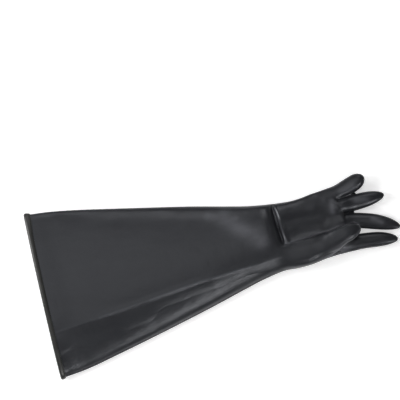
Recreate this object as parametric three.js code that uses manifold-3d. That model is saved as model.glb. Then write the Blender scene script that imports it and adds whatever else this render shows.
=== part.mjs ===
// A long black rubber gauntlet glove of the kind that a blasting cabinet has: a wide tapered sleeve, a
// hand with five fingers and a rolled bead round the cuff. It is a right-hand glove, lying on its back with
// the palm up, as an empty glove of thick rubber lies: the sleeve has sunk flat, a deep groove crosses the
// wrist, a long crease runs down the sleeve and the thumb lies over the palm.
//
// Millimetres. +X runs from the cuff to the fingertips, +Y from the index finger to the little finger, and
// +Z is up. The origin is the middle of the glove's outer box, on the surface that it lies on.
import * as THREE from "three";
import Module from "manifold-3d";
import { mergeVertices } from "three/addons/utils/BufferGeometryUtils.js";

// Driving dimensions.
const sleeveLength = 440; // from the cuff's edge to the groove at the wrist
const palmLength = 128; // from that groove to the finger crotches
const cuffWidth = 304.5; // of the sleeve, lying flat, at its mouth
const wristWidth = 123.5;
const palmWidth = 118;
const sleeveHeight = 42; // of the sleeve as it lies, at its highest
const palmHeight = 30;
const edgeHeight = 9; // of the rounded side edge above the surface
const wall = 1.6; // thickness of the rubber
const beadHeight = 7; // of the rolled bead, across the wall
const beadLength = 8; // along the sleeve
const beadGrip = 5; // how far the bead reaches back over the sleeve's end
const clearance = 0.3; // between the bead and the sleeve's wall
const fingerLength = 98; // of the middle finger, from its crotch
const fingerWidth = 30.5;
const fingerThickness = 21;
const thumbLength = 139; // from the heel of the ball of the thumb
const thumbWidth = 33;
const thumbThickness = 21;
const creaseHeight = 1.6; // of the raised crease along the sleeve

// The sleeve's sections. along is a share of the sleeve's length. taper is 1 where the sleeve is as wide
// as the cuff and 0 where it is as wide as the wrist. aside is a share of the wrist's width, and rise a
// share of the sleeve's height.
const sleeveSections = [
  { along: 0.0, taper: 1.0, aside: 0.022, rise: 0.8 },
  { along: 0.11, taper: 0.94, aside: 0.024, rise: 0.84 },
  { along: 0.23, taper: 0.83, aside: 0.032, rise: 0.9 },
  { along: 0.455, taper: 0.594, aside: 0.041, rise: 0.97 },
  { along: 0.68, taper: 0.345, aside: 0.054, rise: 1.0 },
  { along: 0.82, taper: 0.172, aside: 0.061, rise: 1.0 },
  { along: 0.91, taper: 0.069, aside: 0.065, rise: 0.98 },
  { along: 1.0, taper: 0.0, aside: 0.067, rise: 0.92 },
];

// The palm's sections. along is a share of the palm's length, width and aside are shares of its width, and
// rise is a share of its height.
const palmSections = [
  { along: 0.16, width: 1.035, aside: 0.06, rise: 1.2 },
  { along: 0.32, width: 1.015, aside: 0.06, rise: 1.08 },
  { along: 0.5, width: 1.0, aside: 0.075, rise: 1.0 },
  { along: 0.68, width: 1.01, aside: 0.095, rise: 0.95 },
  { along: 0.84, width: 1.035, aside: 0.11, rise: 0.88 },
  { along: 1.0, width: 1.07, aside: 0.125, rise: 0.8 },
];

// Where the skin is cut into sections: shares of the sleeve's length, then of the palm's.
const sleeveStations = [0, 0.03, 0.08, 0.15, 0.23, 0.32, 0.42, 0.52, 0.62, 0.71, 0.79, 0.86, 0.91, 0.94,
  0.96, 0.975, 0.985, 0.995];
const palmStations = [0.015, 0.04, 0.065, 0.09, 0.13, 0.19, 0.27, 0.36, 0.46, 0.56, 0.66, 0.76, 0.85, 0.93];

// The folds, dents and swellings of the upper skin. from and to are the ends of its middle line: a distance
// past the wrist as a share of the palm's length, and one from the middle as a share of the palm's width.
// reach is its half width as a share of the palm's width, and rise its height as one of the palm's height.
const folds = [
  { name: "wrist_groove", from: [-0.022, 0.5], to: [-0.022, -0.17], reach: 0.085, rise: -0.46 },
  { name: "wrist_ridge", from: [0.055, 0.44], to: [0.075, -0.1], reach: 0.06, rise: 0.09 },
  { name: "palm_hollow", from: [0.18, 0.03], to: [0.72, 0.05], reach: 0.3, rise: -0.25 },
  { name: "thumb_bed", from: [0.72, -0.22], to: [1.0, -0.16], reach: 0.24, rise: -0.14 },
];

// The fingers. across is where the root lies, as a share of the palm's width from its middle. length and
// width are shares of the named sizes, and root is the root's width as a share of the finger's. heading is
// the angle to the glove's length at the root, in degrees, and bend the further turn to the tip. lift is
// how far the tip lies above the root, as a share of the finger's thickness. dome is the share of the
// length at which the tip starts to round off.
const fingers = [
  { across: 0.41, length: 0.62, width: 1.07, root: 0.86, heading: 10, bend: 16, lift: 0.5, dome: 0.66 },
  { across: 0.18, length: 0.83, width: 1.0, root: 0.98, heading: 3, bend: -2, lift: 0.1, dome: 0.45 },
  { across: -0.055, length: 1.0, width: 0.98, root: 0.95, heading: -11, bend: -18, lift: 0.3, dome: 0.45 },
  { across: -0.405, length: 0.765, width: 0.97, root: 1.0, heading: -3, bend: -12, lift: 0.1, dome: 0.42 },
];

// The thumb, from the heel of its ball. along is a share of the thumb's length, across is one of the palm's
// width from its middle at the wrist, height is one of the palm's height above the surface, and width and
// thickness are shares of the named sizes. Its first section lies inside the wrist.
const thumbSections = [
  { along: -0.3, across: -0.29, height: 0.45, width: 0.5, thickness: 0.5 },
  { along: 0.0, across: -0.333, height: 0.67, width: 1.15, thickness: 1.28 },
  { along: 0.216, across: -0.329, height: 0.74, width: 1.39, thickness: 1.43 },
  { along: 0.44, across: -0.307, height: 0.87, width: 1.3, thickness: 1.19 },
  { along: 0.604, across: -0.258, height: 1.07, width: 1.16, thickness: 1.07 },
  { along: 0.748, across: -0.197, height: 1.23, width: 1.0, thickness: 1.0 },
  { along: 0.863, across: -0.168, height: 1.28, width: 1.0, thickness: 0.97 },
  { along: 1.0, across: -0.14, height: 1.3, width: 1.0, thickness: 0.95 },
];
const thumbStart = 0.08; // of the heel of its ball, a share of the palm's length past the wrist
const thumbDome = 0.76; // where its tip starts to round off

// Where the tubes are cut into sections. A finger's first ones lie inside the palm.
const fingerStations = [-0.34, -0.18, 0, 0.16, 0.32, 0.48, 0.62, 0.74, 0.84, 0.92, 0.97];
const thumbStations = [-0.3, -0.2, -0.1, 0, 0.11, 0.22, 0.33, 0.44, 0.53, 0.61, 0.69, 0.77, 0.84, 0.9, 0.95,
  0.985];
const tubeSides = 16;

const mouthBow = 5; // how far the middle of the cuff's edge stands out past its corners
const knuckleSlant = 0.2; // the knuckles' line leans, thumb side forward
const floorShare = 0.68; // share of the width over which the underside lies flat
const creaseAt = -0.45; // the crease's place across the sleeve, -1 at the thumb side's edge
const sideDrop = 0.3; // how far the crown has sunk at the little finger's side
const domeLength = 9; // of the palm's rounded end between the fingers
const degrees = Math.PI / 180;

const beadCheek = (beadHeight - wall) / 2;

const mix = (a, b, t) => a + (b - a) * t;
const smooth = (t) => {
  const c = Math.min(1, Math.max(0, t));
  return c * c * (3 - 2 * c);
};

// One column of a table, read between its rows along a smooth curve through them.
function column(rows, key) {
  const slope = rows.map((row, i) => {
    const before = rows[Math.max(0, i - 1)];
    const after = rows[Math.min(rows.length - 1, i + 1)];
    return (after[key] - before[key]) / (after.x - before.x);
  });
  return (x) => {
    let i = rows.findIndex((row) => row.x >= x);
    i = i < 0 ? rows.length - 1 : Math.max(1, i);
    const span = rows[i].x - rows[i - 1].x;
    const t = Math.min(1, Math.max(0, (x - rows[i - 1].x) / span));
    return (
      rows[i - 1][key] * (2 * t ** 3 - 3 * t ** 2 + 1) +
      slope[i - 1] * span * (t ** 3 - 2 * t ** 2 + t) +
      rows[i][key] * (3 * t ** 2 - 2 * t ** 3) +
      slope[i] * span * (t ** 3 - t ** 2)
    );
  };
}

// The glove's outline and crown in real sizes, cuff to knuckles.
const outline = [
  ...sleeveSections.map(({ along, taper, aside, rise }) => ({
    x: along * sleeveLength,
    half: mix(wristWidth, cuffWidth, taper) / 2,
    middle: aside * wristWidth,
    crown: rise * sleeveHeight,
  })),
  ...palmSections.map(({ along, width, aside, rise }) => ({
    x: sleeveLength + along * palmLength,
    half: (width * palmWidth) / 2,
    middle: aside * palmWidth,
    crown: rise * palmHeight,
  })),
];
const half = column(outline, "half");
const middle = column(outline, "middle");
const crown = column(outline, "crown");

// How far the folds raise the upper skin at a point of the plan.
function foldRise(x, y) {
  let rise = 0;
  for (const fold of folds) {
    const place = ([along, across]) =>
      new THREE.Vector2(sleeveLength + along * palmLength, middle(sleeveLength) + across * palmWidth);
    const [from, to] = [place(fold.from), place(fold.to)];
    const line = to.clone().sub(from);
    const point = new THREE.Vector2(x, y).sub(from);
    const share = Math.min(1, Math.max(0, point.dot(line) / line.lengthSq()));
    const away = point.distanceTo(line.multiplyScalar(share)) / (fold.reach * palmWidth);
    rise += fold.rise * palmHeight * (1 - smooth(away));
  }
  return rise;
}

// The points round a section: from the little finger's edge over the top to the crease, on to the thumb's
// edge, and back underneath. across is 1 at the little finger's edge and -1 at the thumb's. rise is 1 at the
// crown, 0 at the edges and -1 on the surface.
const creaseAngle = Math.acos(creaseAt);
const steps = (from, to, count) => Array.from({ length: count }, (_, i) => mix(from, to, i / count));
const nose = (angle) => [floorShare + (1 - floorShare) * Math.cos(angle), -Math.sin(angle)];
const section = [
  ...[...steps(0, creaseAngle, 13), ...steps(creaseAngle, Math.PI, 9)].map((angle) => [
    Math.cos(angle),
    Math.sin(angle) ** 0.85,
  ]),
  ...steps(0, Math.PI / 2, 5).map((angle) => [-nose(angle)[0], nose(angle)[1]]),
  ...steps(-floorShare, floorShare, 4).map((across) => [across, -1]),
  ...steps(Math.PI / 2, 0, 5).map(nose),
];

// One section of the sleeve or palm. flat is 1 for the full height and less towards the palm's rounded end.
function bodyRing(x, flat = 1, ahead = 0) {
  const wrist = smooth((x - 0.72 * sleeveLength) / (0.28 * sleeveLength));
  const lift = beadCheek * (1 - smooth(x / (0.12 * sleeveLength)));
  const edge = mix(edgeHeight, 0.42 * palmHeight, wrist) + lift;
  const slant = knuckleSlant * smooth((x - sleeveLength) / (0.7 * palmLength));
  const bow = mouthBow * (1 - smooth(x / (0.4 * sleeveLength)));
  return section.map(([across, rise]) => {
    const away = half(x) * across * mix(0.94, 1, flat);
    const y = middle(x) + away;
    const px = x + ahead + bow * across ** 2 - slant * away;
    const sunk = sideDrop * (1 - 0.6 * wrist) * Math.max(0, (across - creaseAt) / (1 - creaseAt)) ** 1.6;
    const crease = creaseHeight * (1 - wrist) * (1 - smooth(Math.abs(across - creaseAt) / 0.05));
    const top = crown(x) * (1 - sunk) + crease + lift + foldRise(px, y);
    const z = rise > 0 ? mix(edge, top, rise) : mix(edge, lift, -rise);
    return new THREE.Vector3(px, y, mix(edge, z, flat));
  });
}

const bodyRings = [
  ...sleeveStations.map((share) => bodyRing(share * sleeveLength)),
  ...palmStations.map((share) => bodyRing(sleeveLength + share * palmLength)),
  ...[0, 30, 55, 75].map((angle) =>
    bodyRing(
      sleeveLength + palmLength - domeLength,
      Math.cos(angle * degrees),
      domeLength * Math.sin(angle * degrees),
    ),
  ),
];

// A tube with oval sections along a curve. halves gives its half width and half thickness at a share of it.
function tubeRings(pathAt, halves, stations) {
  return stations.map((share) => {
    const [width, thickness] = halves(share);
    const ahead = pathAt(share + 0.01).sub(pathAt(share - 0.01)).normalize();
    const side = new THREE.Vector3(-ahead.y, ahead.x, 0).normalize();
    const up = new THREE.Vector3().crossVectors(ahead, side);
    return Array.from({ length: tubeSides }, (_, i) => {
      const angle = (2 * Math.PI * i) / tubeSides;
      return pathAt(share)
        .addScaledVector(side, width * Math.cos(angle))
        .addScaledVector(up, thickness * Math.sin(angle));
    });
  });
}

// The rounding of a fingertip: 1 up to the dome, then an ellipse's quarter down to 0 at the tip.
const tipRound = (share, dome) => Math.sqrt(Math.max(0, 1 - Math.max(0, (share - dome) / (1 - dome)) ** 2));

function fingerRings(finger) {
  const reach = finger.length * fingerLength;
  const thick = finger.width * fingerThickness;
  const crotch = sleeveLength + palmLength;
  const aside = finger.across * palmWidth;
  const root = new THREE.Vector3(crotch - knuckleSlant * aside, middle(crotch) + aside, thick / 2 + 1);
  const [first, last] = [finger.heading, finger.heading + finger.bend].map(
    (angle) => new THREE.Vector3(Math.cos(angle * degrees), Math.sin(angle * degrees), 0),
  );
  const pathAt = (share) => {
    const turned = Math.max(0, share) ** 2 / 2;
    return root
      .clone()
      .addScaledVector(first, reach * (share - turned))
      .addScaledVector(last, reach * turned)
      .add(new THREE.Vector3(0, 0, 2 * finger.lift * thick * turned));
  };
  const halves = (share) => {
    const slim = share < 0 ? 1 + 0.9 * share : 1 - 0.1 * share;
    const size = slim * tipRound(share, finger.dome);
    const swell = mix(finger.root, 1, smooth(share / 0.5));
    const low = 1 - 0.12 * Math.max(0, share);
    return [(finger.width * fingerWidth * swell * size) / 2, (thick * low * size) / 2];
  };
  return tubeRings(pathAt, halves, fingerStations);
}

function thumbRings() {
  const rows = thumbSections.map((row) => ({ ...row, x: row.along }));
  const [across, height, width, thickness] = ["across", "height", "width", "thickness"].map((key) =>
    column(rows, key),
  );
  const start = sleeveLength + thumbStart * palmLength;
  const pathAt = (share) =>
    new THREE.Vector3(
      start + share * thumbLength,
      middle(sleeveLength) + across(share) * palmWidth,
      height(share) * palmHeight,
    );
  const halves = (share) => {
    const round = tipRound(share, thumbDome) / 2;
    return [thumbWidth * width(share) * round, thumbThickness * thickness(share) * round];
  };
  return tubeRings(pathAt, halves, thumbStations);
}

// The same rings moved in by the wall's thickness, square to the skin.
function innerRings(rings) {
  const last = rings.length - 1;
  return rings.map((ring, i) =>
    ring.map((point, j) => {
      const along = rings[Math.min(last, i + 1)][j].clone().sub(rings[Math.max(0, i - 1)][j]);
      const round = ring[(j + 1) % ring.length].clone().sub(ring[(j + ring.length - 1) % ring.length]);
      const out = along.cross(round).normalize();
      return point.clone().addScaledVector(out, wall);
    }),
  );
}

// Rings joined into one skin, closed at both ends.
function skin(rings) {
  const count = rings[0].length;
  const points = rings.flat();
  const faces = [];
  for (let i = 0; i < rings.length - 1; i++)
    for (let j = 0; j < count; j++) {
      const [a, b] = [i * count + j, i * count + ((j + 1) % count)];
      faces.push(a, b, b + count, a, b + count, a + count);
    }
  for (const i of [0, rings.length - 1]) {
    const centre = rings[i].reduce((sum, p) => sum.add(p), new THREE.Vector3()).divideScalar(count);
    const hub = points.push(centre) - 1;
    for (let j = 0; j < count; j++) {
      const [a, b] = [i * count + j, i * count + ((j + 1) % count)];
      faces.push(...(i ? [hub, a, b] : [hub, b, a]));
    }
  }
  return geometryOf(points, faces);
}

function geometryOf(points, faces) {
  const geometry = new THREE.BufferGeometry().setFromPoints(points);
  geometry.setIndex(faces);
  return geometry;
}

const wasm = await Module();
wasm.setup();

function solidOf(geometry) {
  const merged = mergeVertices(geometry, 1e-4);
  const solid = new wasm.Manifold(
    new wasm.Mesh({
      numProp: 3,
      vertProperties: merged.attributes.position.array,
      triVerts: new Uint32Array(merged.index.array),
    }),
  );
  if (solid.volume() < 0) throw new Error("a skin is inside out");
  return solid;
}

function geometryFrom(solid) {
  const mesh = solid.getMesh();
  const geometry = new THREE.BufferGeometry();
  geometry.setAttribute("position", new THREE.BufferAttribute(new Float32Array(mesh.vertProperties), 3));
  geometry.setIndex(new THREE.BufferAttribute(new Uint32Array(mesh.triVerts), 1));
  return geometry;
}

const tubes = [...fingers.map(fingerRings), thumbRings()];
const outer = [bodyRings, ...tubes].map((rings) => solidOf(skin(rings))).reduce((sum, s) => sum.add(s));

// The hollow runs out past the mouth, so that the cuff is open.
const hollowBody = innerRings(bodyRings);
const pastMouth = hollowBody[0].map((p) => p.clone().add(new THREE.Vector3(-2 * beadLength, 0, 0)));
const hollow = [[pastMouth, ...hollowBody], ...tubes.map(innerRings)]
  .map((rings) => solidOf(skin(rings)))
  .reduce((sum, s) => sum.add(s));
const shell = geometryFrom(outer.subtract(hollow));

// The bead: an oval section with a slot that takes the sleeve's end, carried round the cuff. The slot's
// sides follow the two sides of the wall.
function beadGeometry() {
  const [rim, next] = bodyRings;
  const [rimInside, nextInside] = hollowBody;
  const count = rim.length;
  const centre = beadGrip - beadLength / 2;
  const opening = Math.asin((wall / 2 + clearance) / (beadHeight / 2));
  const sides = 12;
  const profile = Array.from({ length: sides + 1 }, (_, i) => {
    const angle = mix(opening, 2 * Math.PI - opening, i / sides);
    return [(beadHeight / 2) * Math.sin(angle) - wall / 2, centre + (beadLength / 2) * Math.cos(angle)];
  });
  profile.push([-wall - clearance, -clearance], [clearance, -clearance]);
  const points = rim.flatMap((point, j) =>
    profile.map(([away, back]) => {
      const share = back / point.distanceTo(next[j]);
      const outside = point.clone().lerp(next[j], share);
      const inside = rimInside[j].clone().lerp(nextInside[j], share);
      return outside.lerp(inside, -away / wall);
    }),
  );
  const faces = [];
  for (let j = 0; j < count; j++)
    for (let k = 0; k < profile.length; k++) {
      const [a, b] = [j * profile.length + k, j * profile.length + ((k + 1) % profile.length)];
      const [c, d] = [a, b].map((n) => (n + profile.length) % (count * profile.length));
      faces.push(a, b, d, a, d, c);
    }
  return geometryOf(points, faces);
}

const rubber = { roughness: 0.5, metalness: 0 };
const glove = new THREE.Group();

function addPiece(name, geometry, colour) {
  geometry.computeVertexNormals();
  const mesh = new THREE.Mesh(geometry, new THREE.MeshStandardMaterial({ color: colour, ...rubber }));
  mesh.name = name;
  glove.add(mesh);
}

addPiece("glove_shell", shell, 0x3b3b3d);
addPiece("cuff_bead", beadGeometry(), 0x333335);

const box = new THREE.Box3().setFromObject(glove);
glove.position.set(-(box.min.x + box.max.x) / 2, -(box.min.y + box.max.y) / 2, -box.min.z);

export default glove;
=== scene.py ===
"""Looks of the sandblasting glove: satin black rubber, lying palm up on a pale floor."""

import math

import bmesh
import bpy
import numpy as np
from mathutils import Matrix, Vector, noise
from mathutils.bvhtree import BVHTree


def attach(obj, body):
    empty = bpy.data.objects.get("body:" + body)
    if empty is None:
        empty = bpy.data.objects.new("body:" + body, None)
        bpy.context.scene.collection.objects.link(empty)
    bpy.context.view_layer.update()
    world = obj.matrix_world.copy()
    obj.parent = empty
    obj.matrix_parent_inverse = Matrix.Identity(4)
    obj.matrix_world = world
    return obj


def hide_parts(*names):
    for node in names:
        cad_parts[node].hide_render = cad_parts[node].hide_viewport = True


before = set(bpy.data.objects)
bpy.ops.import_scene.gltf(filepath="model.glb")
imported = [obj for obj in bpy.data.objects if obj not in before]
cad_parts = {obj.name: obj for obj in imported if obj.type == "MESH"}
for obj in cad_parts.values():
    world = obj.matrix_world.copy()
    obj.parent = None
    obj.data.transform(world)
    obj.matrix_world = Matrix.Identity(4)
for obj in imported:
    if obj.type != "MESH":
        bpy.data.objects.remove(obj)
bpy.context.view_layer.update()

# Sizes in millimetres; x runs from the cuff's edge to the fingertips, y to the glove's left
MM = 0.001  # in metres
SLEEVE = 440.0
PALM = 128.0
CUFF_W = 304.5
WRIST_W = 123.5
PALM_W = 118.0
SLEEVE_H = 42.0
PALM_H = 30.0
WALL = 1.6
BEAD_H = 7.0
BEAD_L = 8.0
BEAD_GRIP = 5.0
FINGER_L = 98.0
FINGER_W = 30.5
FINGER_T = 21.0
THUMB_L = 139.0
THUMB_W = 33.0
THUMB_T = 21.0
SHIFT = np.array([-328.389, -2.7345, 0.0])  # from the glove's own place to the middle of its box

# The section of the sleeve and palm
EDGE_H = 9.0  # height at which the sleeve is widest
PALM_EDGE = 0.42  # the same for the palm, as a share of its height
CHEEK = (BEAD_H - WALL) / 2  # the bead lifts the rubber off the floor by this much
CHEEK_REACH = 0.12 * SLEEVE
WRIST_REACH = 0.28 * SLEEVE  # the sleeve's section turns into the palm's over this length
FLOOR_SHARE = 0.68  # share of the width that lies flat
TOP_ROUNDNESS = 0.85  # 1 is round, and less is boxier
CREASE_AT = -0.45  # the section is highest here, as a share of half the width
SIDE_DROP = 0.3  # the section falls by this share from the crease to its left side
DROP_POWER = 1.6
PALM_DROP = 0.6  # in the palm it falls by this share less
PALM_SIDE = 0.4  # the palm's left side is rounder than the sleeve's by this much
DOME = 9.0  # how far the palm's end is rounded
DOME_WIDTH = 0.94
DOME_ANGLES = (12, 25, 37, 49, 60, 70, 79)
SLANT = 0.2  # the knuckles' line leans by this much to the side
SLANT_REACH = 0.7 * PALM
TRIM, TRIM_FROM, TRIM_REACH = 0.055, 525.0, 40.0  # the palm narrows to the little finger's knuckle
COARSE_STEP, FINE_STEP, FINE_FROM = 5.0, 1.5, 400.0  # steps between the sections

# The mouth is cut here; its line is bowed and leans a little
MOUTH = 1.0
BOW = 1.0
LEAN = 1.5
BOW_REACH = 0.4 * SLEEVE

# The rolled edge
BEAD_SIDES = 30
BEAD_AHEAD = 13.0  # the sleeve's direction at the mouth is read over this length
ROLL_LIP = 1.2  # how far the roll's upper back reaches onto the sleeve
CORNER_ROLL, CORNER_AT, CORNER_REACH = 0.5, 148.0, 24.0  # it reaches farther near the left corner
ROLL_WAVES = [
    # share of the thickness, length along the edge, start
    (0.03, 37.0, 0.0),
    (0.02, 13.0, 1.3),
]

# Tables of the sleeve, palm, folds and fingers, as shares of the sizes above
SLEEVE_ROWS = [
    # along, taper, aside, rise
    (0.0, 1.0, 0.022, 0.8),
    (0.11, 0.94, 0.024, 0.84),
    (0.23, 0.83, 0.032, 0.9),
    (0.455, 0.594, 0.041, 0.97),
    (0.68, 0.345, 0.054, 1.0),
    (0.82, 0.172, 0.061, 1.0),
    (0.91, 0.069, 0.065, 0.98),
    (1.0, 0.0, 0.067, 0.92),
]
PALM_ROWS = [
    # along, width, aside, rise
    (0.16, 1.035, 0.06, 1.2),
    (0.32, 1.015, 0.06, 1.08),
    (0.5, 1.0, 0.075, 1.0),
    (0.68, 1.01, 0.095, 0.95),
    (0.84, 1.035, 0.11, 0.88),
    (1.0, 1.07, 0.125, 0.8),
]
FOLDS = [
    # from, to, reach on its left as one goes, reach on its right, share it fades in over, rise, sharp
    ((0.047, -0.17), (0.01, 0.52), 0.115, 0.08, 0.2, -0.38, True),
    ((0.18, 0.03), (0.72, 0.05), 0.3, 0.3, 0.0, -0.25, False),
    ((0.72, -0.22), (1.0, -0.16), 0.24, 0.24, 0.0, -0.14, False),
]
FINGERS = [
    # across, length, width, width at the root, heading and bend in degrees, lift, start of the tip's dome
    (0.396, 0.62, 1.05, 0.86, 10.5, 16, 0.5, 0.66),
    (0.18, 0.83, 1.0, 0.98, 3, -2, 0.1, 0.45),
    (-0.055, 1.0, 0.98, 0.95, -11, -18, 0.3, 0.45),
    (-0.41, 0.765, 0.95, 1.0, -3, -12, 0.1, 0.42),
]
FINGER_ROOT = -0.34  # a finger reaches back into the palm by this share of its length
FINGER_FLOOR = 1.0  # its root lies this far above the floor
FINGER_TAPER = 0.1
FINGER_THINNING = 0.12
ROOT_TAPER = 0.9
ROOT_REACH = 0.5  # the root's own width ends at this share of the length
THUMB_ROWS = [
    # along, across, height, width, thickness
    (-0.3, -0.29, 0.45, 0.5, 0.5),
    (0.0, -0.333, 0.67, 1.15, 1.28),
    (0.216, -0.329, 0.74, 1.39, 1.43),
    (0.44, -0.307, 0.87, 1.3, 1.19),
    (0.604, -0.258, 1.07, 1.16, 1.07),
    (0.748, -0.197, 1.23, 1.0, 1.0),
    (0.863, -0.168, 1.28, 1.0, 0.97),
    (1.0, -0.14, 1.3, 1.0, 0.95),
]
THUMB_START = 0.08
THUMB_DOME = 0.76
THUMB_ROUNDNESS = 0.8
LAST_RING = 0.997  # the last ring of a finger or thumb, as a share of its length
TUBE_SIDES = 48
TUBE_NUDGE = 0.01  # a path's direction is read over this share of its length, both ways

# The skin's fineness, and how the joints between its parts are rounded
OUTER_VOXEL = 2.3
INNER_VOXEL = 4.2
PALM_BLEND, FINGER_BLEND = 3.2, 0.8
BLEND_FROM, BLEND_REACH = 535.0, 35.0
SETTLE_MARGIN = 9.0  # points farther than this from a part's box are left to the other parts
SETTLE_BAND = 12.0  # a part takes hold of points up to this far from its surface
SETTLE_STEP = 3.0
SETTLE_PULL = 0.25  # the least that counts where two parts pull against each other

# Lines of the narrow folds, each a list of points
CREASE = [(-5, -66), (10.6, -65), (91, -58), (187, -48.6), (283.5, -37), (378.5, -32), (435.5, -28.6)]
WRIST_EDGE = [
    (444, 68), (445.6, 58), (447, 36), (448.6, 14.6),
    (450, 4), (452, -3.7), (457, -8.5), (466, -9),
]
WRIST_LIP = [(420, 70), (421, 45), (422, 22), (424, 0), (428, -16)]
THUMB_EDGE = [(454, -8.5), (496, -8), (535, -4.6), (563.5, -1), (580, -2)]
THUMB_RIM = [
    (449, -6), (484, -5), (530, -1), (561, 4), (580, 3),
    (588, -3), (589, -11), (578, -20), (553, -31), (520, -43),
]
LITTLE_CROTCH = [(556, 52), (575, 53), (592, 54)]
RING_CROTCH = [(560, 20), (575, 21), (592, 22)]

REFINED = [
    # line, and how far from it the skin is made finer
    (CREASE, 9),
    (WRIST_EDGE, 9),
    (THUMB_EDGE, 8),
    (LITTLE_CROTCH, 7),
    (RING_CROTCH, 7),
]
REFINED_ABOVE = 5.0
RIDGES = [
    # line, heights read along its length, reach on its left, reach on its right
    (CREASE, [0, 0.4, 0.8, 1.3, 1.6, 1.5, 1.2, 0.9, 0.7, 0.4, 0], 7.0, 2.2),
    (WRIST_EDGE, [0, 0, 0, 0.1, 0.3, 0.7, 0.9, 0.5], 5.0, 2.0),
    (WRIST_LIP, [0.4, 1.0, 1.1, 0.9, 0.3], 8.0, 14.0),
    (THUMB_EDGE, [0.8, 1.5, 1.6, 1.5, 0.8], 1.8, 4.0),
    (LITTLE_CROTCH, [0, -1.4, -2.2], 2.6, 2.6),
    (RING_CROTCH, [0, -1.4, -2.2], 2.6, 2.6),
]
PADS = [
    # middle, reach, height: swellings, and dents with a negative height
    ((565, 38), (15, 13), 4.6),
    ((564, 9), (10, 8), 1.8),
    ((530, -49), (26, 9), -3.5),
    ((26, -112), (18, 14), -1.4),
]
SLOPE = [
    # share of the crease's length, and how far the skin falls away on its right
    (0, 1.2),
    (0.3, 2.2),
    (0.45, 4.4),
    (0.6, 5.6),
    (0.85, 4.4),
    (1.0, 0.5),
]
SLOPE_WIDTH = 0.5  # share of half the sleeve's width in which it falls

# Slack ripples, stronger on the sleeve and along its right edge, and faint on the fingers
LONG_WAVE = (85, 34, 3.1)  # length along and across, and which wave it is
SHORT_WAVE = (38, 17, 7.7)
WAVE_RISE = (0.7, 0.22)
EDGE_WAVE_RISE = (0.5, 0.25)
EDGE_FROM, EDGE_REACH = -30, 40
PALM_WAVES = 0.35
SLEEVE_TO, SLEEVE_REACH = 400, 60
FINGER_CALM = 0.8
FINGERS_FROM, FINGERS_REACH = 555, 25

# How far a face has to look up before the small folds and the painted highlights show on it
FOLDS_FROM, FOLDS_REACH = 0.1, 0.5
HIGHLIGHTS_REACH = 0.4

PAINTED_HIGHLIGHT_LINES = [
    # line, reach, strength: where a painted highlight makes the rubber paler
    ([(505, -55), (530, -45)], 6.0, 0.9),
    ([(530, -44), (556, -38)], 7.5, 0.9),
    ([(325, 74), (372, 59)], 8.0, 0.42),
    ([(352, 64), (408, 10)], 15.0, 0.48),
    ([(549, 49), (546, 31)], 5.0, 0.6),
    ([(570, 62), (592, 67)], 6.5, 0.45),
    ([(593, 41), (612, 36)], 5.5, 0.5),
    ([(614, 2), (629, -9)], 4.5, 0.55),
    ([(446, 60), (449, 14), (453, -4)], 1.5, 0.4),
    (THUMB_RIM, 1.7, 0.5),
    (CREASE[:3], 2.0, 0.15),
    (CREASE[2:4], 2.0, 0.3),
    (CREASE[3:6], 2.0, 0.45),
    (CREASE[5:], 2.0, 0.2),
]


def mix(a, b, t):
    return a + (b - a) * t


def smooth(t):
    """0 below 0, 1 above 1, and an even ease between."""
    c = np.clip(t, 0.0, 1.0)
    return c * c * (3 - 2 * c)


def column(xs, values):
    """A smooth curve through a table's rows."""
    xs = np.array(xs, float)
    values = np.array(values, float)
    n = len(xs)
    lo = np.maximum(np.arange(n) - 1, 0)
    hi = np.minimum(np.arange(n) + 1, n - 1)
    slope = (values[hi] - values[lo]) / (xs[hi] - xs[lo])

    def read(x):
        x = np.asarray(x, float)
        i = np.clip(np.searchsorted(xs, x), 1, n - 1)
        span = xs[i] - xs[i - 1]
        t = np.clip((x - xs[i - 1]) / span, 0, 1)
        return (
            values[i - 1] * (2 * t**3 - 3 * t**2 + 1)
            + slope[i - 1] * span * (t**3 - 2 * t**2 + t)
            + values[i] * (3 * t**2 - 2 * t**3)
            + slope[i] * span * (t**3 - t**2)
        )

    return read


outline_x = [r[0] * SLEEVE for r in SLEEVE_ROWS] + [SLEEVE + r[0] * PALM for r in PALM_ROWS]
half = column(
    outline_x,
    [mix(WRIST_W, CUFF_W, r[1]) / 2 for r in SLEEVE_ROWS] + [r[1] * PALM_W / 2 for r in PALM_ROWS],
)
middle = column(outline_x, [r[2] * WRIST_W for r in SLEEVE_ROWS] + [r[2] * PALM_W for r in PALM_ROWS])
crown = column(outline_x, [r[3] * SLEEVE_H for r in SLEEVE_ROWS] + [r[3] * PALM_H for r in PALM_ROWS])
WRIST_MID = float(middle(SLEEVE))


def to_line(x, y, a, b):
    """Distance from points to the stretch a to b, and how far along it they lie."""
    ax, ay = a
    dx, dy = b[0] - ax, b[1] - ay
    share = np.clip(((x - ax) * dx + (y - ay) * dy) / (dx * dx + dy * dy), 0, 1)
    return np.hypot(x - ax - share * dx, y - ay - share * dy), share


def to_polyline(x, y, line):
    """Signed distance to a line of points, positive on its left, and the share of its length."""
    best = np.full(x.shape, np.inf)
    side = np.zeros_like(x)
    along = np.zeros_like(x)
    steps = [math.dist(a, b) for a, b in zip(line, line[1:])]
    done = 0.0
    for a, b, step in zip(line, line[1:], steps):
        away, share = to_line(x, y, a, b)
        left = (b[0] - a[0]) * (y - a[1]) - (b[1] - a[1]) * (x - a[0])
        near = away < best
        best = np.where(near, away, best)
        side = np.where(near, np.sign(left), side)
        along = np.where(near, (done + share * step) / sum(steps), along)
        done += step
    return best * side, along


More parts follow.
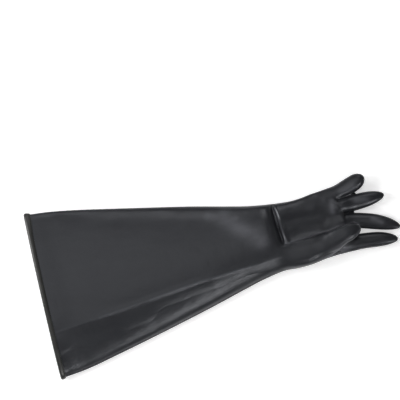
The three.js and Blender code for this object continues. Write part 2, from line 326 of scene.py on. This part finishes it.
def fold_rise(x, y):
    """How far the wide folds lift the upper skin."""
    rise = np.zeros_like(x)
    for a, b, left, right, fade, height, sharp in FOLDS:
        start = (SLEEVE + a[0] * PALM, WRIST_MID + a[1] * PALM_W)
        end = (SLEEVE + b[0] * PALM, WRIST_MID + b[1] * PALM_W)
        away, along = to_line(x, y, start, end)
        on_left = (end[0] - start[0]) * (y - start[1]) > (end[1] - start[1]) * (x - start[0])
        depth = height * PALM_H * (smooth(along / fade) if fade else 1.0)
        share = np.minimum(away / (np.where(on_left, left, right) * PALM_W), 1)
        rise += depth * ((1 - share) ** 2 if sharp else 1 - smooth(share))
    return rise


def body_points(x, across, rise, flat=1.0, ahead=0.0):
    """Points of the sleeve and palm, before the mouth's line is bowed.

    across and rise say where on the section, from -1 to 1; flat and ahead close the palm's end.
    """
    wrist = smooth((x - (SLEEVE - WRIST_REACH)) / WRIST_REACH)
    lift = CHEEK * (1 - smooth(x / CHEEK_REACH))
    edge = mix(EDGE_H, PALM_EDGE * PALM_H, wrist) + lift
    trim = np.where(across > 0, 1 - TRIM * smooth((x - TRIM_FROM) / TRIM_REACH), 1.0)
    away = half(x) * across * mix(DOME_WIDTH, 1.0, flat) * trim
    y = middle(x) + away
    px = x + ahead - SLANT * smooth((x - SLEEVE) / SLANT_REACH) * away
    past_crease = np.maximum(0, (across - CREASE_AT) / (1 - CREASE_AT))
    sunk = SIDE_DROP * (1 - PALM_DROP * wrist) * past_crease**DROP_POWER
    top = crown(x) * (1 - sunk) + lift + fold_rise(px, y)
    over = np.maximum(rise, 0) ** np.where(across > 0, 1 - PALM_SIDE * wrist, 1.0)
    z = np.where(rise > 0, mix(edge, top, over), mix(edge, lift, np.maximum(-rise, 0)))
    return np.stack([px, y, mix(edge, z, flat)], -1)


def section(top, corner, floor):
    """across and rise of the points round a section, with a number of points for each stretch."""
    angle = np.linspace(0, math.pi, top, endpoint=False)
    turn = np.linspace(0, math.pi / 2, corner, endpoint=False)
    back = np.linspace(math.pi / 2, 0, corner, endpoint=False)
    across = np.concatenate(
        [
            np.cos(angle),
            -(FLOOR_SHARE + (1 - FLOOR_SHARE) * np.cos(turn)),
            np.linspace(-FLOOR_SHARE, FLOOR_SHARE, floor, endpoint=False),
            FLOOR_SHARE + (1 - FLOOR_SHARE) * np.cos(back),
        ]
    )
    rise = np.concatenate([np.sin(angle) ** TOP_ROUNDNESS, -np.sin(turn), -np.ones(floor), -np.sin(back)])
    return across, rise


def body_rings():
    across, rise = section(top=150, corner=16, floor=30)
    end = SLEEVE + PALM - DOME
    coarse = np.arange(0, FINE_FROM, COARSE_STEP)
    fine = np.arange(FINE_FROM, end + FINE_STEP / 2, FINE_STEP)
    rings = [body_points(np.full(len(across), x), across, rise) for x in np.concatenate([coarse, fine])]
    for angle in np.radians(DOME_ANGLES):
        x = np.full(len(across), end)
        rings.append(body_points(x, across, rise, math.cos(angle), DOME * math.sin(angle)))
    return np.array(rings)


def tube_rings(path, halves, stations, roundness=1.0):
    """Rings square to a path. halves gives half the width and thickness; a low roundness is boxy."""
    rings = []
    turn = np.linspace(0, 2 * math.pi, TUBE_SIDES, endpoint=False)
    across = np.sign(np.cos(turn)) * np.abs(np.cos(turn)) ** roundness
    rise = np.sign(np.sin(turn)) * np.abs(np.sin(turn)) ** roundness
    for share in stations:
        width, thick = halves(share)
        ahead = path(share + TUBE_NUDGE) - path(share - TUBE_NUDGE)
        ahead /= np.linalg.norm(ahead)
        side = np.array([-ahead[1], ahead[0], 0.0])
        side /= np.linalg.norm(side)
        up = np.cross(ahead, side)
        rings.append(path(share) + np.outer(width * across, side) + np.outer(thick * rise, up))
    return np.array(rings)


def tube_stations(root, dome, along, round_tip):
    """Where the rings of a finger or thumb lie, closer together as its tip rounds off."""
    tip = 1 - (1 - dome) * (1 - np.sin(np.linspace(0, math.pi / 2, round_tip)))[:-1]
    return np.concatenate([np.linspace(root, dome, along, endpoint=False), tip, [LAST_RING]])


def tip_round(share, dome):
    """The size of a finger's section at a share of its length, which rounds off beyond the dome's start."""
    return math.sqrt(max(0.0, 1 - max(0.0, (share - dome) / (1 - dome)) ** 2))


def finger_rings(row):
    across, length, width, root_share, heading, bend, lift, dome = row
    reach = length * FINGER_L
    thick = width * FINGER_T
    crotch = SLEEVE + PALM
    aside = across * PALM_W
    root = np.array([crotch - SLANT * aside, float(middle(crotch)) + aside, thick / 2 + FINGER_FLOOR])
    first, last = [
        np.array([math.cos(angle), math.sin(angle), 0.0]) for angle in np.radians((heading, heading + bend))
    ]

    def path(share):
        turned = max(0.0, share) ** 2 / 2
        rise = [0, 0, 2 * lift * thick * turned]
        return root + first * reach * (share - turned) + last * reach * turned + rise

    def halves(share):
        taper = 1 + ROOT_TAPER * share if share < 0 else 1 - FINGER_TAPER * share
        size = taper * tip_round(share, dome)
        swell = mix(root_share, 1.0, float(smooth(share / ROOT_REACH)))
        thinner = 1 - FINGER_THINNING * max(0.0, share)
        return width * FINGER_W * swell * size / 2, thick * thinner * size / 2

    return tube_rings(path, halves, tube_stations(FINGER_ROOT, dome, along=30, round_tip=16))


def thumb_rings():
    along = [r[0] for r in THUMB_ROWS]
    across, height, width, thick = [column(along, [r[i] for r in THUMB_ROWS]) for i in (1, 2, 3, 4)]
    start = SLEEVE + THUMB_START * PALM

    def path(share):
        x = start + share * THUMB_L
        y = WRIST_MID + float(across(share)) * PALM_W
        return np.array([x, y, float(height(share)) * PALM_H])

    def halves(share):
        size = tip_round(share, THUMB_DOME) / 2
        return THUMB_W * float(width(share)) * size, THUMB_T * float(thick(share)) * size

    stations = tube_stations(along[0], THUMB_DOME, along=50, round_tip=14)
    return tube_rings(path, halves, stations, THUMB_ROUNDNESS)


def loft(rings):
    """Vertices and faces of rings joined into one closed skin."""
    count = rings.shape[1]
    n = rings.shape[0]
    verts = np.concatenate([rings.reshape(-1, 3), [rings[0].mean(0)], [rings[-1].mean(0)]])
    i, j = np.meshgrid(np.arange(n - 1), np.arange(count), indexing="ij")
    k = (j + 1) % count
    quads = np.stack([i * count + j, i * count + k, (i + 1) * count + k, (i + 1) * count + j], -1)
    faces = quads.reshape(-1, 4).tolist()
    hub = n * count
    for a in range(count):
        b = (a + 1) % count
        faces.append([hub, b, a])
        faces.append([hub + 1, (n - 1) * count + a, (n - 1) * count + b])
    return verts, faces


def inset(rings, depth):
    """Rings moved in, square to the skin."""
    n = len(rings)
    ahead = rings[np.minimum(np.arange(n) + 1, n - 1)] - rings[np.maximum(np.arange(n) - 1, 0)]
    around = np.roll(rings, -1, 1) - np.roll(rings, 1, 1)
    normal = np.cross(ahead, around)
    normal /= np.maximum(np.linalg.norm(normal, axis=-1, keepdims=True), 1e-9)
    return rings + normal * depth


def mesh_of(name, verts, faces):
    mesh = bpy.data.meshes.new(name)
    mesh.from_pydata([tuple(v) for v in verts], [], faces)
    mesh.update()
    return mesh


def placed(name, data):
    obj = bpy.data.objects.new(name, data)
    bpy.context.scene.collection.objects.link(obj)
    return obj


def remeshed(parts, voxel):
    """One rough skin of small squares round all the parts."""
    verts, faces, base = [], [], 0
    for v, f in parts:
        verts.append(v)
        faces += [[base + i for i in face] for face in f]
        base += len(v)
    obj = placed("blank", mesh_of("blank", np.concatenate(verts), faces))
    modifier = obj.modifiers.new("skin", "REMESH")
    modifier.mode = "VOXEL"
    modifier.voxel_size = voxel
    evaluated = obj.evaluated_get(bpy.context.evaluated_depsgraph_get())
    mesh = evaluated.to_mesh()
    out = np.empty(len(mesh.vertices) * 3)
    mesh.vertices.foreach_get("co", out)
    polys = [list(p.vertices) for p in mesh.polygons]
    evaluated.to_mesh_clear()
    bpy.data.objects.remove(obj)
    return out.reshape(-1, 3), polys


def settle(points, parts, rounds):
    """Moves a rough skin's points onto the parts' own surfaces, rounding the joints between them."""
    points = points.copy()
    blends = mix(PALM_BLEND, FINGER_BLEND, smooth((points[:, 0] - BLEND_FROM) / BLEND_REACH))
    trees = []
    for verts, faces in parts:
        tree = BVHTree.FromPolygons([tuple(v) for v in verts], faces)
        trees.append((tree, verts.min(0) - SETTLE_MARGIN, verts.max(0) + SETTLE_MARGIN))
    for _ in range(rounds):
        total = np.zeros(len(points))
        pull = np.zeros_like(points)
        for tree, low, high in trees:
            near = np.where(((points > low) & (points < high)).all(1))[0]
            for i in near:
                p = Vector(points[i])
                spot, normal, _, away = tree.find_nearest(p)
                out = p - spot
                sign = 1.0 if out.dot(normal) > 0 else -1.0
                d = sign * away
                if d > SETTLE_BAND:
                    continue
                w = math.exp(-max(d, -SETTLE_BAND) / blends[i])
                total[i] += w
                direction = out.normalized() * sign if away > 1e-4 else normal
                pull[i] += w * np.array(direction)
        ok = total > 0
        d = np.zeros(len(points))
        d[ok] = -blends[ok] * np.log(total[ok])
        pull[ok] /= total[ok][:, None]
        size = np.maximum((pull**2).sum(1), SETTLE_PULL)
        points -= pull * (np.clip(d, -SETTLE_STEP, SETTLE_STEP) / size)[:, None]
    return points


def normals_of(verts, faces):
    quads = np.array([f if len(f) == 4 else f + [f[-1]] for f in faces])
    a, b, c, d = [verts[quads[:, i]] for i in range(4)]
    face = np.cross(c - a, d - b)
    out = np.zeros_like(verts)
    for i in range(4):
        np.add.at(out, quads[:, i], face)
    return out / np.maximum(np.linalg.norm(out, axis=1, keepdims=True), 1e-9)


def line_rise(x, y, line, heights, left, right):
    """A ridge along a line, with its own reach on each side."""
    away, along = to_polyline(x, y, line)
    height = np.interp(along, np.linspace(0, 1, len(heights)), heights)
    return height * np.where(away > 0, np.exp(-((away / left) ** 2)), np.exp(-((away / right) ** 2)))


def pad_rise(x, y, centre, reach, height):
    """A round swelling, or a dent."""
    square = ((x - centre[0]) / reach[0]) ** 2 + ((y - centre[1]) / reach[1]) ** 2
    return height * np.exp(-square)


def slope_rise(x, y):
    """The skin falls away on the crease's right."""
    side, along = to_polyline(x, y, CREASE)
    fall = np.interp(along, [r[0] for r in SLOPE], [r[1] for r in SLOPE])
    return -fall * smooth(-side / (SLOPE_WIDTH * half(x)))


def waves(x, y):
    """Long slack ripples of the rubber, stronger along the right edge."""
    edge = smooth((EDGE_FROM - y) / EDGE_REACH)
    out = np.empty_like(x)
    for i in range(len(x)):
        long, short = [noise.noise((x[i] / a, y[i] / b, c)) for a, b, c in (LONG_WAVE, SHORT_WAVE)]
        at_edge = EDGE_WAVE_RISE[0] * long + EDGE_WAVE_RISE[1] * short
        out[i] = WAVE_RISE[0] * long + WAVE_RISE[1] * short + edge[i] * at_edge
    return out


def near_details(points):
    """Whether each point is close to a narrow fold."""
    x, y, z = points.T
    close = np.zeros(len(x), bool)
    for line, reach in REFINED:
        close |= np.abs(to_polyline(x, y, line)[0]) < reach
    return close & (z > REFINED_ABOVE)


def details(points, normals):
    """Small folds of the upper skin."""
    x, y, _ = points.T
    sleeve = 1 - smooth((x - SLEEVE_TO) / SLEEVE_REACH)
    fingers = smooth((x - FINGERS_FROM) / FINGERS_REACH)
    rise = waves(x, y) * mix(PALM_WAVES, 1.0, sleeve) * (1 - FINGER_CALM * fingers)
    rise += slope_rise(x, y) * sleeve
    for row in RIDGES:
        rise += line_rise(x, y, *row)
    for row in PADS:
        rise += pad_rise(x, y, *row)
    faces_up = smooth((normals[:, 2] - FOLDS_FROM) / FOLDS_REACH)
    return points + normals * (rise * faces_up)[:, None]


def painted_highlight_amount(points, normals):
    """How much painted highlight each point of the skin gets, 0 to 1."""
    x, y, _ = points.T
    amount = np.zeros_like(x)
    for line, reach, strength in PAINTED_HIGHLIGHT_LINES:
        away, _ = to_polyline(x, y, line)
        amount = np.maximum(amount, strength * np.exp(-((away / reach) ** 2)))
    return amount * smooth(normals[:, 2] / HIGHLIGHTS_REACH)


def refined(verts, faces, near):
    """The same skin with its squares cut in four where the narrow folds are."""
    mesh = mesh_of("coarse", verts, faces)
    bm = bmesh.new()
    bm.from_mesh(mesh)
    bm.verts.ensure_lookup_table()
    edges = [e for e in bm.edges if near[e.verts[0].index] and near[e.verts[1].index]]
    bmesh.ops.subdivide_edges(bm, edges=edges, cuts=1, use_grid_fill=True)
    bmesh.ops.triangulate(bm, faces=[f for f in bm.faces if len(f.verts) > 4])
    bm.verts.index_update()
    points = np.array([v.co[:] for v in bm.verts])
    polys = [[v.index for v in f.verts] for f in bm.faces]
    bm.free()
    bpy.data.meshes.remove(mesh)
    return points, polys


def on_floor(points):
    """The same points, none of them under the floor."""
    points[..., 2] = np.maximum(points[..., 2], 0)
    return points


def bow(points):
    """The mouth's middle stands out past its corners, and its line leans a little."""
    x, y, _ = points.T
    across = np.clip((y - middle(x)) / half(x), -1, 1)
    out = points.copy()
    out[:, 0] += (BOW * across**2 + LEAN * across) * (1 - smooth(x / BOW_REACH))
    return out


def cut_mouth(verts, faces, painted_highlight):
    """A closed skin opened at the mouth. The third argument holds how much painted highlight each point
    gets.
    """
    mesh = mesh_of("cut", verts, faces)
    mesh.attributes.new("painted_highlight", "FLOAT", "POINT").data.foreach_set("value", painted_highlight)
    bm = bmesh.new()
    bm.from_mesh(mesh)
    bpy.data.meshes.remove(mesh)
    bmesh.ops.bisect_plane(
        bm,
        geom=bm.verts[:] + bm.edges[:] + bm.faces[:],
        dist=1e-4,
        plane_co=(MOUTH, 0, 0),
        plane_no=(-1, 0, 0),
        clear_outer=True,
    )
    return bm


def shell_object():
    """The glove's rubber, a folded outer skin joined to a plain inner one at the mouth."""
    blanks = [body_rings()] + [finger_rings(r) for r in FINGERS] + [thumb_rings()]
    outer_parts = [loft(r) for r in blanks]
    inner_parts = [loft(inset(r, WALL)) for r in blanks]

    outer, outer_faces = remeshed(outer_parts, OUTER_VOXEL)
    outer = settle(outer, outer_parts, rounds=2)
    outer, outer_faces = refined(outer, outer_faces, near_details(outer))
    outer = settle(outer, outer_parts, rounds=1)
    outer = on_floor(details(outer, normals_of(outer, outer_faces)))
    inner, inner_faces = remeshed(inner_parts, INNER_VOXEL)

    # The painted highlights go to the material as a point attribute
    bm = cut_mouth(outer, outer_faces, painted_highlight_amount(outer, normals_of(outer, outer_faces)))
    inner_bm = cut_mouth(inner, [f[::-1] for f in inner_faces], np.zeros(len(inner)))
    mesh = bpy.data.meshes.new("inner")
    inner_bm.to_mesh(mesh)
    inner_bm.free()
    bm.from_mesh(mesh)
    bpy.data.meshes.remove(mesh)
    bmesh.ops.bridge_loops(bm, edges=[e for e in bm.edges if e.is_boundary])
    for v in bm.verts:
        v.co = bow(np.array([v.co]))[0]
        v.co = (np.array(v.co) + SHIFT) * MM
    mesh = bpy.data.meshes.new("glove_rubber")
    bm.to_mesh(mesh)
    bm.free()
    for poly in mesh.polygons:
        poly.use_smooth = True
    return placed("glove_rubber", mesh)


def bead_object():
    """The rolled edge: a soft oval, a little flattened, with a lip where the roll meets the sleeve."""
    across, rise = section(top=150, corner=16, floor=60)
    rim = bow(body_points(np.zeros(len(across)), across, rise))
    after = bow(body_points(np.full(len(across), BEAD_AHEAD), across, rise))
    count = len(rim)
    ahead = after - rim
    ahead /= np.linalg.norm(ahead, axis=1, keepdims=True)
    around = np.roll(rim, -1, 0) - np.roll(rim, 1, 0)
    out = np.cross(around, ahead)
    out /= np.linalg.norm(out, axis=1, keepdims=True)
    turn = np.linspace(0, 2 * math.pi, BEAD_SIDES, endpoint=False)
    arc = np.concatenate([[0], np.cumsum(np.linalg.norm(np.diff(rim, axis=0), axis=1))])
    sizes = np.ones(count)
    for share, length, start in ROLL_WAVES:
        sizes += share * np.sin(arc / length + start)
    centre = BEAD_GRIP - BEAD_L / 2
    behind = np.maximum(np.cos(turn), 0)
    lip = behind * (1 + ROLL_LIP * np.maximum(np.sin(turn), 0) * behind)
    front = np.minimum(np.cos(turn), 0)
    rings = []
    for k, size in enumerate(sizes):
        away = np.sin(turn) * BEAD_H / 2 * size - WALL / 2
        wide = 1 + CORNER_ROLL * math.exp(-(((rim[k][1] - CORNER_AT) / CORNER_REACH) ** 2))
        back = centre + (front + lip * wide) * BEAD_L / 2 * (1 + 0.5 * (size - 1))
        rings.append(rim[k] + np.outer(away, out[k]) + np.outer(back, ahead[k]))
    rings = on_floor(np.array(rings))
    i, j = np.meshgrid(np.arange(count), np.arange(BEAD_SIDES), indexing="ij")
    i2, j2 = (i + 1) % count, (j + 1) % BEAD_SIDES
    corners = [i * BEAD_SIDES + j, i * BEAD_SIDES + j2, i2 * BEAD_SIDES + j2, i2 * BEAD_SIDES + j]
    quads = np.stack(corners, -1).reshape(-1, 4).tolist()
    mesh = mesh_of("cuff_roll", (rings.reshape(-1, 3) + SHIFT) * MM, quads)
    for poly in mesh.polygons:
        poly.use_smooth = True
    return placed("cuff_roll", mesh)


shell = shell_object()
bead = bead_object()


# Materials
PATCHES = (14.0, 5.0, 0.6)  # scale, detail and roughness of a noise
STREAKS = (1.0, 6.0, 0.5)
STREAK_STRETCH = (14.0, 40.0, 30.0)
DUSTY_PATCHES = (0.42, 0.72)  # the stretch of the noise that turns from clean to dusty
DUSTY_STREAKS = (0.45, 0.8)
HIGHLIGHT_STREAKS = (0.35, 0.65, 0.55, 1.0)  # the same, and how much of a painted highlight shows at its ends
GLOSS = (0.3, 0.37)  # roughness where clean and where dusty
# Colour of the painted highlights
HIGHLIGHT_PAINT = (0.13, 0.132, 0.148, 1)
GRAIN = (900.0, 0.25, 0.0002)  # scale, strength, and depth in metres
RIPPLE = (55.0, 0.5, 0.0012)
BUMP_DETAIL = 3.0


def node(tree, kind, inputs=None, **settings):
    """A shader node with its settings; each input is a value or the socket that feeds it."""
    made = tree.nodes.new(kind)
    for key, value in settings.items():
        setattr(made, key, value)
    for key, value in (inputs or {}).items():
        if isinstance(value, bpy.types.NodeSocket):
            tree.links.new(value, made.inputs[key])
        else:
            made.inputs[key].default_value = value
    return made


def noise_of(tree, where, scale, detail, roughness=0.5):
    """A cloudy value from 0 to 1."""
    inputs = {"Vector": where, "Scale": scale, "Detail": detail, "Roughness": roughness}
    return node(tree, "ShaderNodeTexNoise", inputs).outputs["Fac"]


def ramp(tree, value, start, end, low=0.0, high=1.0):
    """A value's stretch from start to end, turned into one from low to high."""
    inputs = {"Value": value, "From Min": start, "From Max": end, "To Min": low, "To Max": high}
    return node(tree, "ShaderNodeMapRange", inputs).outputs["Result"]


def blend(tree, share, a, b):
    """A colour between a and b."""
    inputs = {"Factor": share, "A": a, "B": b}
    return node(tree, "ShaderNodeMix", inputs, data_type="RGBA").outputs["Result"]


def bump(tree, where, scale, strength, depth, under=None):
    """A fine unevenness, laid over another one."""
    inputs = {"Height": noise_of(tree, where, scale, BUMP_DETAIL), "Strength": strength, "Distance": depth}
    if under is not None:
        inputs["Normal"] = under
    return node(tree, "ShaderNodeBump", inputs).outputs["Normal"]


def rubber(name, dark, pale, sheen):
    """Satin rubber: dark, with paler dusty patches and streaks, painted highlights, a fine grain and soft
    ripples.
    """
    material = bpy.data.materials.new(name)
    material.use_nodes = True
    tree = material.node_tree
    shader = tree.nodes["Principled BSDF"]
    where = node(tree, "ShaderNodeTexCoord").outputs["Object"]
    stretched = node(tree, "ShaderNodeMapping", {"Vector": where, "Scale": STREAK_STRETCH}).outputs["Vector"]
    patches = noise_of(tree, where, *PATCHES)
    streaks = noise_of(tree, stretched, *STREAKS)
    masks = {0: ramp(tree, patches, *DUSTY_PATCHES), 1: ramp(tree, streaks, *DUSTY_STREAKS)}
    dust = node(tree, "ShaderNodeMath", masks, operation="ADD", use_clamp=True).outputs[0]
    colour = blend(tree, dust, (*dark, 1), (*pale, 1))

    # Painted highlights: a paler colour laid along the given lines, broken up by the streaks
    painted_highlight = node(tree, "ShaderNodeAttribute", attribute_name="painted_highlight").outputs["Fac"]
    highlight_parts = {0: painted_highlight, 1: ramp(tree, streaks, *HIGHLIGHT_STREAKS)}
    highlight_mask = node(tree, "ShaderNodeMath", highlight_parts, operation="MULTIPLY").outputs[0]
    tree.links.new(blend(tree, highlight_mask, colour, HIGHLIGHT_PAINT), shader.inputs["Base Color"])
    tree.links.new(ramp(tree, dust, 0.0, 1.0, *GLOSS), shader.inputs["Roughness"])
    shader.inputs["Specular Tint"].default_value = (*sheen, 1)

    grain = bump(tree, where, *GRAIN)
    tree.links.new(bump(tree, where, *RIPPLE, grain), shader.inputs["Normal"])
    return material


black = rubber(
    "black_rubber",
    dark=(0.0115, 0.012, 0.0148),
    pale=(0.0155, 0.0163, 0.0192),
    sheen=(0.93, 0.95, 1.0),
)
rolled = rubber(
    "rolled_rubber",
    dark=(0.018, 0.018, 0.017),
    pale=(0.028, 0.0278, 0.0262),
    sheen=(0.94, 0.94, 0.93),
)
shell.data.materials.append(black)
bead.data.materials.append(rolled)

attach(shell, "root")
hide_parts("glove_shell")
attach(bead, "root")
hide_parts("cuff_bead")

# Floor: white all over in the picture, so it glows a little
FLOOR_REACH = 6
FLOOR_PAINT = {
    "Base Color": (0.9, 0.9, 0.9, 1),
    "Roughness": 0.9,
    "Specular IOR Level": 0.2,
    "Emission Color": (1, 1, 1, 1),
    "Emission Strength": 0.5,
}
square = [(x * FLOOR_REACH, y * FLOOR_REACH, 0) for x, y in ((-1, -1), (1, -1), (1, 1), (-1, 1))]
floor = placed("floor", mesh_of("floor", square, [[0, 1, 2, 3]]))
paint = bpy.data.materials.new("pale_floor")
paint.use_nodes = True
for key, value in FLOOR_PAINT.items():
    paint.node_tree.nodes["Principled BSDF"].inputs[key].default_value = value
floor.data.materials.append(paint)

# Light and camera, in metres; right and up are the picture's own directions
TURN = math.radians(13.5)
RIGHT = Vector((math.cos(TURN), -math.sin(TURN), 0))
UP = Vector((math.sin(TURN), math.cos(TURN), 0))
LIT_HEIGHT = 0.02
LIGHTS = [
    # name, right, up, height, sizes, watts, how far right it aims, the cone's angle in degrees
    ("light_top", -0.1, 1.55, 1.45, (1.1, 0.9), 0.36, -0.2, 32.0),
    ("light_bottom", 0.95, -1.4, 1.5, (0.9, 0.7), 0.7, -0.12, 28.0),
    ("light_left", -1.8, 0.3, 1.2, (0.8, 1.3), 30.0, 0.0, 180.0),
    ("light_above", -0.55, 0.35, 3.4, (1.6, 2.5), 13.0, -0.55, 180.0),
]
WORLD_STRENGTH = 0.2
PICTURE_CENTRE = Vector((-0.0107, 0.1044, 0.0))
PICTURE_WIDTH = 0.7262
PICTURE_HEIGHT = 0.015  # the width is measured at this height over the floor
CAMERA_HEIGHT = 8.0
SENSOR = 36

for name, right, up, height, sizes, power, aim, cone in LIGHTS:
    data = bpy.data.lights.new(name, "AREA")
    data.shape = "RECTANGLE"
    data.size, data.size_y = sizes
    data.energy = power
    data.spread = math.radians(cone)
    lamp = placed(name, data)
    lamp.location = RIGHT * right + UP * up + Vector((0, 0, height))
    target = RIGHT * aim + Vector((0, 0, LIT_HEIGHT))
    lamp.rotation_euler = (target - lamp.location).to_track_quat("-Z", "Y").to_euler()

world = bpy.data.worlds.new("studio")
world.use_nodes = True
world.node_tree.nodes["Background"].inputs["Color"].default_value = (1, 1, 1, 1)
world.node_tree.nodes["Background"].inputs["Strength"].default_value = WORLD_STRENGTH
bpy.context.scene.world = world
bpy.context.scene.view_settings.view_transform = "Standard"

camera_data = bpy.data.cameras.new("camera")
camera_data.sensor_width = SENSOR
camera_data.lens = SENSOR * (CAMERA_HEIGHT - PICTURE_HEIGHT) / PICTURE_WIDTH
camera = placed("camera", camera_data)
camera.matrix_world = Matrix.Translation(PICTURE_CENTRE + Vector((0, 0, CAMERA_HEIGHT))) @ Matrix(
    ((RIGHT.x, UP.x, 0, 0), (RIGHT.y, UP.y, 0, 0), (0, 0, 1, 0), (0, 0, 0, 1))
)
bpy.context.scene.camera = camera
